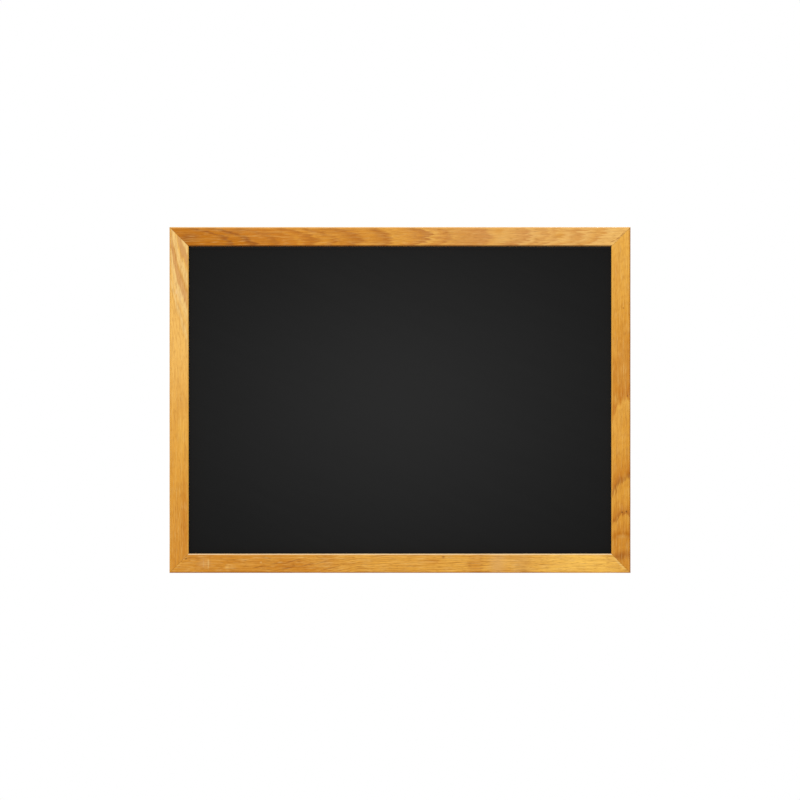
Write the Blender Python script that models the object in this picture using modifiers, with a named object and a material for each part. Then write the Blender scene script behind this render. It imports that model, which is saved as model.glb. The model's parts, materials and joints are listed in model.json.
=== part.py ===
"""A framed wall chalkboard: a mitred oak moulding, a coated writing panel and its hanging hardware.

Metres, +Z up. The board faces -Y, and the plane Y = 0 is the back face of the oak, towards the wall.
The origin is the middle of the top rail's back face.
"""

from math import asin, cos, degrees, pi, radians, sin, sqrt

import bmesh
import bpy
from mathutils import Matrix

# Overall size of the framed board, which is sold as 24 by 18 inches
BOARD_WIDTH = 0.6096
BOARD_HEIGHT = 0.4572

# Clearances that every fit shares
SEAT_GAP = 0.0003
MITRE_GAP = 0.0003
CUT_OVERRUN = 0.0020
WELD_DISTANCE = 0.000001

# Oak moulding: a flat face with eased edges, and a rebate behind its lip for the two sheets
RAIL_FACE = 0.0254
LIP_DEPTH = 0.0060
REBATE_WIDTH = 0.0080
BACK_RECESS = 0.00545
FRONT_ARRIS = 0.0018
BACK_ARRIS = 0.0008
ARRIS_STEPS = 6

# Writing panel of coated hardboard, and the backing board behind it
PANEL_THICKNESS = 0.0032
BACKING_THICKNESS = 0.0030
SHEET_PLAY = 0.0010
SHEET_ARRIS = 0.0004

# Framer's points: flat steel tabs that are driven into the rebate wall and hold the sheets
POINT_THICKNESS = 0.0005
POINT_WIDTH = 0.0055
POINT_TAB = 0.0095
POINT_BITE = 0.0050
POINT_TAPER_SHARE = 0.5
POINT_CORNER = 0.0012
RAIL_POINT_SHARES = (-0.34, 0.0, 0.34)
STILE_POINT_SHARES = (-0.27, 0.27)

# V-nails: folded steel strips that are driven across each mitre from the back
NAIL_GAUGE = 0.0006
NAIL_LEG = 0.0055
NAIL_HEIGHT = 0.0100
NAIL_SINK = 0.0004
NAIL_BEND = 0.0008
NAIL_BEND_STEPS = 4
NAIL_HALF_ANGLE = radians(56)
NAIL_PLACE_SHARES = (0.26, 0.56)

# Ring hangers: a folded strap on each stile, which carries a D-shaped wire ring
HANGER_DROP = 0.1500
STRAP_WIDTH = 0.0100
STRAP_GAUGE = 0.0008
STRAP_LEAF_GAP = 0.0002
STRAP_END_MARGIN = 0.0055
STRAP_FALL_ANGLE = radians(58)
LOOP_STEPS = 18
RING_WIRE = 0.0020
RING_PLAY = 0.0003
RING_SIDE_PLAY = 0.0008
RING_LEG = 0.0050
RING_CORNER = 0.0016
RING_CORNER_STEPS = 4
RING_BOW_STEPS = 18
RING_TUBE_RESOLUTION = 3

# Pan head wood screws that hold the straps
SCREW_SHANK = 0.0032
SCREW_HEAD = 0.0066
SCREW_HEAD_HEIGHT = 0.0021
SCREW_HEAD_RIM = 0.0008
SCREW_LENGTH = 0.0127
SCREW_TIP = 0.0036
SCREW_TIP_FLAT = 0.0004
SCREW_PITCH = 0.0135
SCREW_RING_CLEARANCE = 0.0008
RECESS_SPAN = 0.0038
RECESS_WIDTH = 0.0009
RECESS_DEPTH = 0.0012
RECESS_TURNS = (radians(17), radians(64))
ROUND_STEPS = 32
CROWN_STEPS = 5

# Rubber bumpers that hold the lower edge off the wall, level with the hangers
BUMPER_DIAMETER = 0.0120
BUMPER_HEIGHT = 0.0050
BUMPER_INSET = 0.0450
BUMPER_EDGE = 0.0016
BUMPER_EDGE_STEPS = 5

# Places that follow from the sizes above
SIGHT_WIDTH = BOARD_WIDTH - 2 * RAIL_FACE
SIGHT_HEIGHT = BOARD_HEIGHT - 2 * RAIL_FACE
BACK_FACE = RAIL_FACE - REBATE_WIDTH
SHEET_STACK = PANEL_THICKNESS + BACKING_THICKNESS + POINT_THICKNESS + 3 * SEAT_GAP
RAIL_DEPTH = LIP_DEPTH + SHEET_STACK + BACK_RECESS
PANEL_FRONT = SEAT_GAP + LIP_DEPTH - RAIL_DEPTH
BACKING_FRONT = PANEL_FRONT + PANEL_THICKNESS + SEAT_GAP
POINT_FRONT = BACKING_FRONT + BACKING_THICKNESS + SEAT_GAP
CENTRE_HEIGHT = (BACK_FACE - BOARD_HEIGHT) / 2

LOOP_RADIUS = RING_WIRE / 2 + RING_PLAY + STRAP_GAUGE / 2
LOWER_LEAF = SEAT_GAP + STRAP_GAUGE / 2
UPPER_LEAF = LOWER_LEAF + STRAP_GAUGE + STRAP_LEAF_GAP
STRAP_TOP = UPPER_LEAF + STRAP_GAUGE / 2
RING_AXIS = LOWER_LEAF + LOOP_RADIUS
RING_HALF_WIDTH = STRAP_WIDTH / 2 + RING_SIDE_PLAY + RING_WIRE / 2
RING_REACH = RING_LEG + RING_HALF_WIDTH
RING_LEAN = asin((RING_AXIS - SEAT_GAP - RING_WIRE / 2) / RING_REACH)
FIRST_SCREW = RING_REACH + RING_WIRE / 2 + SCREW_RING_CLEARANCE + SCREW_HEAD / 2
SCREW_PLACES = (FIRST_SCREW, FIRST_SCREW + SCREW_PITCH)
STRAP_REACH = SCREW_PLACES[-1] + STRAP_END_MARGIN
SCREW_SEAT = STRAP_TOP + SEAT_GAP
PILOT_RADIUS = SCREW_SHANK / 2 + SEAT_GAP
PILOT_DEPTH = SCREW_LENGTH - SCREW_SEAT + SEAT_GAP

QUARTER_TURN = pi / 2
DIAGONAL = sqrt(2)
UNIT = 1.0

# Which way each member of the frame is turned about Y from the bottom rail
MEMBERS = {
    "bottom_rail": 0,
    "left_stile": QUARTER_TURN,
    "top_rail": pi,
    "right_stile": -QUARTER_TURN,
}
CORNERS = {
    "top_left": (-1, 1),
    "top_right": (1, 1),
    "bottom_left": (-1, -1),
    "bottom_right": (1, -1),
}
SIDES = {"left": -1, "right": 1}


def clear_scene():
    """Empties the scene, so that nothing but the board is left in it."""
    for obj in list(bpy.data.objects):
        bpy.data.objects.remove(obj, do_unlink=True)


def new_collection(name):
    """A collection under the scene's own."""
    collection = bpy.data.collections.new(name)
    bpy.context.scene.collection.children.link(collection)
    return collection


def finish_material(name, colour, roughness, metallic=0.0):
    """A Principled material of one colour, in linear RGB."""
    material = bpy.data.materials.new(name)
    material.use_nodes = True
    material.diffuse_color = (*colour, 1.0)
    shader = material.node_tree.nodes["Principled BSDF"]
    shader.inputs["Base Color"].default_value = (*colour, 1.0)
    shader.inputs["Roughness"].default_value = roughness
    shader.inputs["Metallic"].default_value = metallic
    return material


def arc(centre, radius, start, end, steps):
    """Points on a circle from one angle to another, both ends included."""
    turns = [start + (end - start) * k / steps for k in range(steps + 1)]
    return [(centre[0] + radius * cos(t), centre[1] + radius * sin(t)) for t in turns]


def spread_along(half_length, shares):
    """Places along a member, as shares of its sight length."""
    return [2 * half_length * share for share in shares]


class Board:
    """The collections, finishes and helpers that the pieces of the board share."""

    def __init__(self):
        self.parts = new_collection("wall_chalkboard")
        self.cutters = new_collection("cutters")
        self.oak = finish_material("honey_oak", (0.68, 0.36, 0.07), 0.42)
        self.coating = finish_material("black_chalk_coating", (0.014, 0.014, 0.014), 0.85)
        self.hardboard = finish_material("brown_hardboard", (0.20, 0.11, 0.05), 0.80)
        self.zinc = finish_material("zinc_plated_steel", (0.62, 0.62, 0.60), 0.32, 1.0)
        self.dark_steel = finish_material("blackened_steel", (0.06, 0.06, 0.065), 0.45, 1.0)
        self.rubber = finish_material("black_rubber", (0.02, 0.02, 0.02), 0.70)
        self.centre = self.empty("board_centre", (0, 0, CENTRE_HEIGHT))

    def empty(self, name, location, turn=0.0, parent=None):
        """An empty, turned about Y, that carries other objects."""
        holder = bpy.data.objects.new(name, None)
        holder.location = location
        holder.rotation_euler = (0, turn, 0)
        holder.parent = parent
        self.parts.objects.link(holder)
        return holder

    def piece(self, name, mesh, material, parent, location=(0, 0, 0), rotation=(0, 0, 0)):
        """A solid of the board, with its own finish, placed under its parent."""
        obj = bpy.data.objects.new(name, mesh)
        obj.parent = parent
        obj.location = location
        obj.rotation_euler = rotation
        if mesh.materials:
            mesh.materials[0] = material
        else:
            mesh.materials.append(material)
        self.parts.objects.link(obj)
        return obj

    def cutter(self, name, mesh, parent, location=(0, 0, 0), rotation=(0, 0, 0)):
        """A helper that takes material away and isn't part of the board."""
        obj = bpy.data.objects.new(name, mesh)
        obj.parent = parent
        obj.location = location
        obj.rotation_euler = rotation
        obj.hide_render = True
        obj.display_type = "WIRE"
        self.cutters.objects.link(obj)
        return obj


def combine(target, tool, operation="DIFFERENCE"):
    """Adds a Boolean of the target with the tool."""
    modifier = target.modifiers.new(operation.lower() + "_" + tool.name, "BOOLEAN")
    modifier.operation = operation
    modifier.object = tool
    return modifier


def outline_mesh(name, points, height):
    """A closed outline in the XY plane, thickened by height about Z = 0."""
    curve = bpy.data.curves.new(name, "CURVE")
    curve.dimensions = "2D"
    curve.fill_mode = "BOTH"
    curve.extrude = height / 2
    spline = curve.splines.new("POLY")
    spline.points.add(len(points) - 1)
    for point, (x, y) in zip(spline.points, points):
        point.co = (x, y, 0, 1)
    spline.use_cyclic_u = True
    guide = bpy.data.objects.new(name + "_guide", curve)
    bpy.context.scene.collection.objects.link(guide)
    graph = bpy.context.evaluated_depsgraph_get()
    mesh = bpy.data.meshes.new_from_object(guide.evaluated_get(graph))
    mesh.name = name
    bpy.data.objects.remove(guide, do_unlink=True)
    bm = bmesh.new()
    bm.from_mesh(mesh)
    bmesh.ops.remove_doubles(bm, verts=bm.verts, dist=WELD_DISTANCE)
    bmesh.ops.recalc_face_normals(bm, faces=bm.faces)
    bm.to_mesh(mesh)
    bm.free()
    mesh.shade_flat()
    return mesh


def block_mesh(name, size):
    """A rectangular block about its own centre."""
    bm = bmesh.new()
    bmesh.ops.create_cube(bm, size=UNIT)
    bmesh.ops.scale(bm, vec=size, verts=bm.verts)
    mesh = bpy.data.meshes.new(name)
    bm.to_mesh(mesh)
    bm.free()
    return mesh


def round_bar_mesh(name, radius, length):
    """A solid cylinder along Z, about its own centre."""
    bm = bmesh.new()
    bmesh.ops.create_cone(
        bm, cap_ends=True, segments=ROUND_STEPS, radius1=radius, radius2=radius, depth=length
    )
    mesh = bpy.data.meshes.new(name)
    bm.to_mesh(mesh)
    bm.free()
    return mesh


def profile_mesh(name, profile):
    """An open profile in the XZ plane, given as (radius, height), for a Screw modifier."""
    bm = bmesh.new()
    corners = [bm.verts.new((radius, 0, height)) for radius, height in profile]
    for first, second in zip(corners, corners[1:]):
        bm.edges.new((first, second))
    mesh = bpy.data.meshes.new(name)
    bm.to_mesh(mesh)
    bm.free()
    return mesh


def turn_profile(obj):
    """Turns the object's profile about its own Z axis."""
    screw = obj.modifiers.new("turning", "SCREW")
    screw.steps = ROUND_STEPS
    screw.render_steps = ROUND_STEPS
    screw.use_merge_vertices = True
    screw.merge_threshold = WELD_DISTANCE
    obj.data.shade_smooth()


def moulding_profile():
    """The moulding's section: across its face from the outer edge, and back from its front face."""
    inner = RAIL_FACE - FRONT_ARRIS
    front_outer = arc((FRONT_ARRIS, FRONT_ARRIS), FRONT_ARRIS, pi, 3 * QUARTER_TURN, ARRIS_STEPS)
    front_inner = arc((inner, FRONT_ARRIS), FRONT_ARRIS, -QUARTER_TURN, 0, ARRIS_STEPS)
    rebate = [
        (RAIL_FACE, LIP_DEPTH),
        (BACK_FACE, LIP_DEPTH),
        (BACK_FACE, RAIL_DEPTH - BACK_ARRIS),
    ]
    back = [
        (BACK_FACE - BACK_ARRIS, RAIL_DEPTH),
        (BACK_ARRIS, RAIL_DEPTH),
        (0, RAIL_DEPTH - BACK_ARRIS),
    ]
    return front_outer + front_inner + rebate + back


def mitred_member_mesh(name, length):
    """A length of moulding along X, with its outer edge on Z = 0 and both ends mitred."""
    mesh = outline_mesh(name, moulding_profile(), length + 2 * CUT_OVERRUN)
    mesh.transform(Matrix.Rotation(-QUARTER_TURN, 4, "Y"))
    mesh.transform(Matrix.Translation((0, -RAIL_DEPTH, 0)))
    bm = bmesh.new()
    bm.from_mesh(mesh)
    for end in (-1, 1):
        cut = bmesh.ops.bisect_plane(
            bm,
            geom=bm.verts[:] + bm.edges[:] + bm.faces[:],
            dist=WELD_DISTANCE,
            plane_co=(end * (length / 2 - MITRE_GAP * DIAGONAL / 2), 0, 0),
            plane_no=(end, 0, 1),
            clear_outer=True,
        )
        rim = [item for item in cut["geom_cut"] if isinstance(item, bmesh.types.BMEdge)]
        bmesh.ops.contextual_create(bm, geom=rim)
    bmesh.ops.recalc_face_normals(bm, faces=bm.faces)
    bm.to_mesh(mesh)
    bm.free()
    return mesh


def make_frame(board):
    """The four members of the frame, each turned about the middle of the board."""
    members = {}
    for name, turn in MEMBERS.items():
        upright = name.endswith("stile")
        length, offset = (BOARD_HEIGHT, BOARD_WIDTH) if upright else (BOARD_WIDTH, BOARD_HEIGHT)
        mesh = mitred_member_mesh(name, length)
        place = (-sin(turn) * offset / 2, 0, -cos(turn) * offset / 2)
        members[name] = board.piece(name, mesh, board.oak, board.centre, place, (0, turn, 0))
    return members


def make_sheets(board):
    """The writing panel behind the lip of the frame, and the backing board behind the panel."""
    reach = 2 * (REBATE_WIDTH - SHEET_PLAY)
    sheets = (
        ("writing_panel", PANEL_FRONT, PANEL_THICKNESS, board.coating),
        ("backing_board", BACKING_FRONT, BACKING_THICKNESS, board.hardboard),
    )
    for name, front, thickness, material in sheets:
        mesh = block_mesh(name, (SIGHT_WIDTH + reach, thickness, SIGHT_HEIGHT + reach))
        sheet = board.piece(name, mesh, material, board.centre, (0, front + thickness / 2, 0))
        edge = sheet.modifiers.new("eased_edges", "BEVEL")
        edge.width = SHEET_ARRIS
        edge.segments = 1


def point_outline():
    """A framer's point: a tab with rounded corners at -X, and its driven tip at +X."""
    half = POINT_WIDTH / 2
    back = POINT_CORNER - POINT_TAB
    shoulder = POINT_BITE * (1 - POINT_TAPER_SHARE)
    side = half - POINT_CORNER
    lower = arc((back, -side), POINT_CORNER, pi, 3 * QUARTER_TURN, ARRIS_STEPS)
    upper = arc((back, side), POINT_CORNER, QUARTER_TURN, pi, ARRIS_STEPS)
    return lower + [(shoulder, -half), (POINT_BITE, 0), (shoulder, half)] + upper


def make_points(board, members):
    """The framer's points, each driven into the rebate wall of the member that carries it."""
    outline = point_outline()
    for name, member in members.items():
        upright = name.endswith("stile")
        half_length = (SIGHT_HEIGHT if upright else SIGHT_WIDTH) / 2
        shares = STILE_POINT_SHARES if upright else RAIL_POINT_SHARES
        side = name.split("_")[0]
        for number, along in enumerate(spread_along(half_length, shares), start=1):
            label = f"panel_point_{side}_{number}"
            middle = POINT_FRONT + POINT_THICKNESS / 2
            seat = board.empty(label + "_seat", (along, middle, BACK_FACE), parent=member)
            seat.rotation_euler = (QUARTER_TURN, QUARTER_TURN, 0)
            mesh = outline_mesh(label, outline, POINT_THICKNESS)
            board.piece(label, mesh, board.dark_steel, seat)
            slot_length = POINT_BITE + SEAT_GAP + CUT_OVERRUN
            slot_size = (
                slot_length,
                POINT_WIDTH + 2 * SEAT_GAP,
                POINT_THICKNESS + 2 * SEAT_GAP,
            )
            slot_middle = slot_length / 2 - CUT_OVERRUN
            slot = board.cutter(
                label + "_slot", block_mesh(label + "_slot", slot_size), seat, (slot_middle, 0, 0)
            )
            combine(member, slot)


def vee_outline(leg, gauge):
    """A V of sheet, bent round a radius near the origin, with its legs running towards +X."""
    tilt = NAIL_HALF_ANGLE
    half = gauge / 2
    centre = (NAIL_BEND / sin(tilt), 0)
    turns = (QUARTER_TURN + tilt, 3 * QUARTER_TURN - tilt)
    outer_bend = arc(centre, NAIL_BEND + half, *turns, NAIL_BEND_STEPS)
    inner_bend = arc(centre, NAIL_BEND - half, *turns, NAIL_BEND_STEPS)
    outer_end = (leg * cos(tilt) - half * sin(tilt), leg * sin(tilt) + half * cos(tilt))
    inner_end = (leg * cos(tilt) + half * sin(tilt), leg * sin(tilt) - half * cos(tilt))
    lower_ends = [(x, -y) for x, y in (outer_end, inner_end)]
    return [outer_end, *outer_bend, *lower_ends, *reversed(inner_bend), inner_end]


def make_v_nails(board, members):
    """Two V-nails across each mitre, driven in from the back of the frame."""
    height = -NAIL_SINK - NAIL_HEIGHT / 2
    slot_height = NAIL_HEIGHT + NAIL_SINK + SEAT_GAP + CUT_OVERRUN
    slot_middle = CUT_OVERRUN - slot_height / 2
    for corner, (across, up) in CORNERS.items():
        place = (across * BOARD_WIDTH / 2, 0, up * BOARD_HEIGHT / 2)
        inward = QUARTER_TURN * (1 + across / 2) if up > 0 else -QUARTER_TURN * (1 + across / 2)
        holder = board.empty("corner_" + corner, place, inward, board.centre)
        vertical, side = corner.split("_")
        for number, share in enumerate(NAIL_PLACE_SHARES, start=1):
            label = f"v_nail_{corner}_{number}"
            along = BACK_FACE * DIAGONAL * share
            upright = (-QUARTER_TURN, 0, 0)
            mesh = outline_mesh(label, vee_outline(NAIL_LEG, NAIL_GAUGE), NAIL_HEIGHT)
            board.piece(label, mesh, board.zinc, holder, (along, height, 0), upright)
            slot_outline = vee_outline(NAIL_LEG + SEAT_GAP, NAIL_GAUGE + 2 * SEAT_GAP)
            slot_mesh = outline_mesh(label + "_slot", slot_outline, slot_height)
            slot = board.cutter(
                label + "_slot", slot_mesh, holder, (along, slot_middle, 0), upright
            )
            combine(members[vertical + "_rail"], slot)
            combine(members[side + "_stile"], slot)


def strap_path():
    """The folded strap seen from its side, as (up, out from the wall) from the ring's axis."""
    lower = LOWER_LEAF - RING_AXIS
    upper = UPPER_LEAF - RING_AXIS
    last = QUARTER_TURN + STRAP_FALL_ANGLE
    loop = arc((0, 0), LOOP_RADIUS, -QUARTER_TURN, last, LOOP_STEPS)
    leave_up, leave_out = loop[-1]
    landing = leave_up - (leave_out - upper) * cos(STRAP_FALL_ANGLE) / sin(STRAP_FALL_ANGLE)
    reach = STRAP_REACH + CUT_OVERRUN
    return [(-reach, lower), *loop, (landing, upper), (-reach, upper)]


def ribbon_mesh(name, path, width):
    """A path in the YZ plane, given as (up, out), drawn out along X into an open ribbon."""
    bm = bmesh.new()
    corners = [bm.verts.new((-width / 2, out, up)) for up, out in path]
    edges = [bm.edges.new(pair) for pair in zip(corners, corners[1:])]
    drawn = bmesh.ops.extrude_edge_only(bm, edges=edges)
    moved = [item for item in drawn["geom"] if isinstance(item, bmesh.types.BMVert)]
    bmesh.ops.translate(bm, verts=moved, vec=(width, 0, 0))
    bmesh.ops.recalc_face_normals(bm, faces=bm.faces)
    mesh = bpy.data.meshes.new(name)
    bm.to_mesh(mesh)
    bm.free()
    return mesh


def make_strap(board, label, seat):
    """A strap folded round the ring's bar, with a round lower end and a hole for each screw."""
    path = strap_path()
    ribbon = ribbon_mesh(label, path, STRAP_WIDTH + 2 * CUT_OVERRUN)
    strap = board.piece(label, ribbon, board.zinc, seat)
    wall = strap.modifiers.new("gauge", "SOLIDIFY")
    wall.thickness = STRAP_GAUGE
    wall.offset = 0
    wall.use_even_offset = True
    half = STRAP_WIDTH / 2
    above = LOOP_RADIUS + STRAP_GAUGE / 2 + CUT_OVERRUN
    end = arc((0, half - STRAP_REACH), half, pi, 2 * pi, ROUND_STEPS // 2)
    blank_outline = end + [(half, above), (-half, above)]
    height = 2 * (LOOP_RADIUS + STRAP_GAUGE / 2 + CUT_OVERRUN)
    blank_mesh = outline_mesh(label + "_blank", blank_outline, height)
    upright = (QUARTER_TURN, 0, 0)
    combine(strap, board.cutter(label + "_blank", blank_mesh, seat, rotation=upright), "INTERSECT")
    for number, below in enumerate(SCREW_PLACES, start=1):
        hole_mesh = round_bar_mesh(f"{label}_hole_{number}", PILOT_RADIUS, height)
        hole = board.cutter(hole_mesh.name, hole_mesh, seat, (0, 0, -below), upright)
        combine(strap, hole)
    return strap


def ring_points():
    """The centreline of the D ring: its bar on the hinge axis, its legs and its round bow."""
    half = RING_HALF_WIDTH
    corner = half - RING_CORNER
    lower_right = arc((corner, RING_CORNER), RING_CORNER, -QUARTER_TURN, 0, RING_CORNER_STEPS)
    bow = arc((0, RING_LEG), half, 0, pi, RING_BOW_STEPS)
    lower_left = arc((-corner, RING_CORNER), RING_CORNER, pi, 3 * QUARTER_TURN, RING_CORNER_STEPS)
    return lower_right + bow + lower_left


def make_ring(board, label, seat):
    """The wire ring, with its origin on its hinge axis, leaning back against the stile."""
    curve = bpy.data.curves.new(label, "CURVE")
    curve.dimensions = "3D"
    curve.bevel_depth = RING_WIRE / 2
    curve.bevel_resolution = RING_TUBE_RESOLUTION
    spline = curve.splines.new("POLY")
    centreline = ring_points()
    spline.points.add(len(centreline) - 1)
    for point, (across, up) in zip(spline.points, centreline):
        point.co = (across, 0, up, 1)
    spline.use_cyclic_u = True
    curve.materials.append(board.zinc)
    ring = bpy.data.objects.new(label, curve)
    ring.parent = seat
    ring.rotation_euler = (RING_LEAN, 0, 0)
    board.parts.objects.link(ring)
    return ring


def screw_profile():
    """A pan head wood screw from its crown down, with its head seated on Z = 0."""
    head = SCREW_HEAD / 2
    shank = SCREW_SHANK / 2
    rise = SCREW_HEAD_HEIGHT - SCREW_HEAD_RIM
    turns = [QUARTER_TURN * k / CROWN_STEPS for k in range(CROWN_STEPS + 1)]
    crown = [(head * sin(turn), SCREW_HEAD_RIM + rise * cos(turn)) for turn in turns]
    shoulder = [(head, 0), (shank, 0)]
    tip = [(shank, SCREW_TIP - SCREW_LENGTH), (SCREW_TIP_FLAT, -SCREW_LENGTH), (0, -SCREW_LENGTH)]
    return crown + shoulder + tip


def cross_outline(span, width):
    """A plain cross of two equal bars."""
    arm, half = span / 2, width / 2
    corner = [(arm, -half), (arm, half), (half, half)]
    turned = []
    for quarter in range(4):
        c, s = (1, 0, -1, 0)[quarter], (0, 1, 0, -1)[quarter]
        turned += [(x * c - y * s, x * s + y * c) for x, y in corner]
    return turned


def make_screw(board, label, seat, below, recess_turn):
    """A screw through the strap and into the stile, with its cross recess facing the wall."""
    holder = board.empty(label + "_seat", (0, SCREW_SEAT - RING_AXIS, -below), parent=seat)
    holder.rotation_euler = (-QUARTER_TURN, 0, 0)
    screw = board.piece(label, profile_mesh(label, screw_profile()), board.zinc, holder)
    turn_profile(screw)
    recess_mesh = outline_mesh(
        label + "_recess", cross_outline(RECESS_SPAN, RECESS_WIDTH), RECESS_DEPTH + CUT_OVERRUN
    )
    middle = (0, 0, SCREW_HEAD_HEIGHT + (CUT_OVERRUN - RECESS_DEPTH) / 2)
    recess = board.cutter(recess_mesh.name, recess_mesh, holder, middle, (0, 0, recess_turn))
    combine(screw, recess)


def make_hangers(board, members):
    """A strap, its ring and its screws on the back of each stile, at the same height."""
    for side, across in SIDES.items():
        place = (
            across * (BOARD_WIDTH - BACK_FACE) / 2,
            RING_AXIS,
            BOARD_HEIGHT / 2 - HANGER_DROP,
        )
        seat = board.empty(f"hanger_{side}", place, parent=board.centre)
        make_strap(board, f"hanger_strap_{side}", seat)
        make_ring(board, f"hanger_ring_{side}", seat)
        rows = ("upper", "lower")
        for row, below, recess_turn in zip(rows, SCREW_PLACES, RECESS_TURNS):
            label = f"hanger_screw_{side}_{row}"
            make_screw(board, label, seat, below, across * recess_turn)
            length = PILOT_DEPTH + CUT_OVERRUN
            middle = CUT_OVERRUN - length / 2 - RING_AXIS
            pilot_mesh = round_bar_mesh(label + "_pilot", PILOT_RADIUS, length)
            upright = (QUARTER_TURN, 0, 0)
            pilot = board.cutter(pilot_mesh.name, pilot_mesh, seat, (0, middle, -below), upright)
            combine(members[side + "_stile"], pilot)


def bumper_profile():
    """A low round bumper with a softened rim, standing on Z = 0."""
    radius = BUMPER_DIAMETER / 2
    rim = arc(
        (radius - BUMPER_EDGE, BUMPER_HEIGHT - BUMPER_EDGE),
        BUMPER_EDGE,
        QUARTER_TURN,
        0,
        BUMPER_EDGE_STEPS,
    )
    return [(0, BUMPER_HEIGHT), *rim, (radius, 0), (0, 0)]


def make_bumpers(board):
    """The two bumpers near the ends of the bottom rail."""
    for side, across in SIDES.items():
        label = f"wall_bumper_{side}"
        place = (
            across * (BOARD_WIDTH / 2 - BUMPER_INSET),
            SEAT_GAP,
            (BACK_FACE - BOARD_HEIGHT) / 2,
        )
        mesh = profile_mesh(label, bumper_profile())
        bumper = board.piece(label, mesh, board.rubber, board.centre, place, (-QUARTER_TURN, 0, 0))
        turn_profile(bumper)


def report_fits():
    """Prints the sizes that the drawings quote."""
    fold = asin((STRAP_TOP + SEAT_GAP + RING_WIRE / 2 - RING_AXIS) / RING_REACH)
    swing = pi + RING_LEAN - fold
    print(f"frame depth {RAIL_DEPTH:.5f} m, ring axis {RING_AXIS:.5f} m behind the oak")
    print(f"ring leans {degrees(RING_LEAN):.2f} degrees and swings {degrees(swing):.2f} degrees")


def main():
    """Builds every piece of the board."""
    clear_scene()
    board = Board()
    members = make_frame(board)
    make_sheets(board)
    make_points(board, members)
    make_v_nails(board, members)
    make_hangers(board, members)
    make_bumpers(board)
    report_fits()


main()
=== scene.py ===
"""Looks of a framed wall chalkboard, dressed round its packed construction model.

The board faces -Y, its back faces the wall at +Y, and Z is up. Lengths are in metres, apart from those
whose name or description says millimetres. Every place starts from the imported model's boxes and hinges.
"""

import json
import logging
from collections.abc import Sequence
from dataclasses import dataclass
from enum import Enum
from math import asin, cos, hypot, pi, radians, sin, sqrt, tan

import bmesh
import bpy
from bmesh.types import BMEdge, BMesh, BMVert
from bpy.types import ID, Material, Node, NodeSocket, NodeTree, Object
from mathutils import Matrix, Vector


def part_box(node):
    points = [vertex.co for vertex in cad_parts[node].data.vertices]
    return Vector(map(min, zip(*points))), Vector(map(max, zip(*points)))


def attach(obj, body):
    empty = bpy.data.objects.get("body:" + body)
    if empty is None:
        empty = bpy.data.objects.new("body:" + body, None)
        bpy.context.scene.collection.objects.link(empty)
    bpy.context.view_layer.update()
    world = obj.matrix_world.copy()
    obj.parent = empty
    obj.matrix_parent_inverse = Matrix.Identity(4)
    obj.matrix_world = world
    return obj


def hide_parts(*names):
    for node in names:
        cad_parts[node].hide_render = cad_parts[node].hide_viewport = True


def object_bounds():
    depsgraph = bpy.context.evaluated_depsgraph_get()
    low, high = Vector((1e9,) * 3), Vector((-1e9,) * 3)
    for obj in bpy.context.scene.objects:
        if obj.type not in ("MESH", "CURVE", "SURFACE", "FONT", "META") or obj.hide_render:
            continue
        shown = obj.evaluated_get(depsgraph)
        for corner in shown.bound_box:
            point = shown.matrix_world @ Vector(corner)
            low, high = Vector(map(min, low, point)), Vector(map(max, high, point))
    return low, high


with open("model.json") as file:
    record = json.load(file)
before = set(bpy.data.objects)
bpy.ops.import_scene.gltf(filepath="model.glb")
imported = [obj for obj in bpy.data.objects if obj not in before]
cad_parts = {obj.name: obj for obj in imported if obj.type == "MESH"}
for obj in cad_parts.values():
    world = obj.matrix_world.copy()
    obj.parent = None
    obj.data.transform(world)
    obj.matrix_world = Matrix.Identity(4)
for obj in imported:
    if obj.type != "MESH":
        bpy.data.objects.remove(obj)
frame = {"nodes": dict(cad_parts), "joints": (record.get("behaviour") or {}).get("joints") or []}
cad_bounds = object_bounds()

LOG = logging.getLogger("wall_chalkboard")

Colour = tuple[float, float, float, float]
Triple = tuple[float, float, float]
Inputs = dict[str | int, object]

MM = 0.001
QUARTER_TURN = pi / 2
DIAGONAL = sqrt(2)
ACROSS = Vector((1, 0, 0))
OUTWARD = Vector((0, 1, 0))
UPWARD = Vector((0, 0, 1))

# How far forms run past a cut, and how close two corners have to be to count as one
OVERRUN = 2 * MM
WELD = 0.001 * MM

# The photograph's side, and the width of the frame in it
PHOTO_SIDE_PX = 800
PHOTO_FRAME_WIDTH_PX = 461.1

# The most stops that one colour ramp holds
RAMP_STOPS = 32

# What many nodes have in common
COLOUR_MIX = {"data_type": "RGBA"}
FITTED = {"vector_type": "TEXTURE"}
SEEDED = {"noise_dimensions": "4D"}
SOFT = {"interpolation_type": "SMOOTHSTEP"}
TIMES = {"operation": "MULTIPLY"}
TIMES_PLUS = {"operation": "MULTIPLY_ADD"}
DISTANCE = {"operation": "DISTANCE"}
LENGTH = {"operation": "LENGTH"}
PINGPONG = {"operation": "PINGPONG"}
EVEN_NOISE = {"Scale": 1.0, "Detail": 2.0}

# What all bevels and all spins have in common, and how finely turned pieces are made
BEVEL = {"offset_type": "OFFSET", "profile": 0.5, "material": -1}
SPIN = {"dvec": (0, 0, 0), "use_duplicate": False}
TURNED_FLATS = 40
TURNED_CORNER_FLATS = 5


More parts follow.
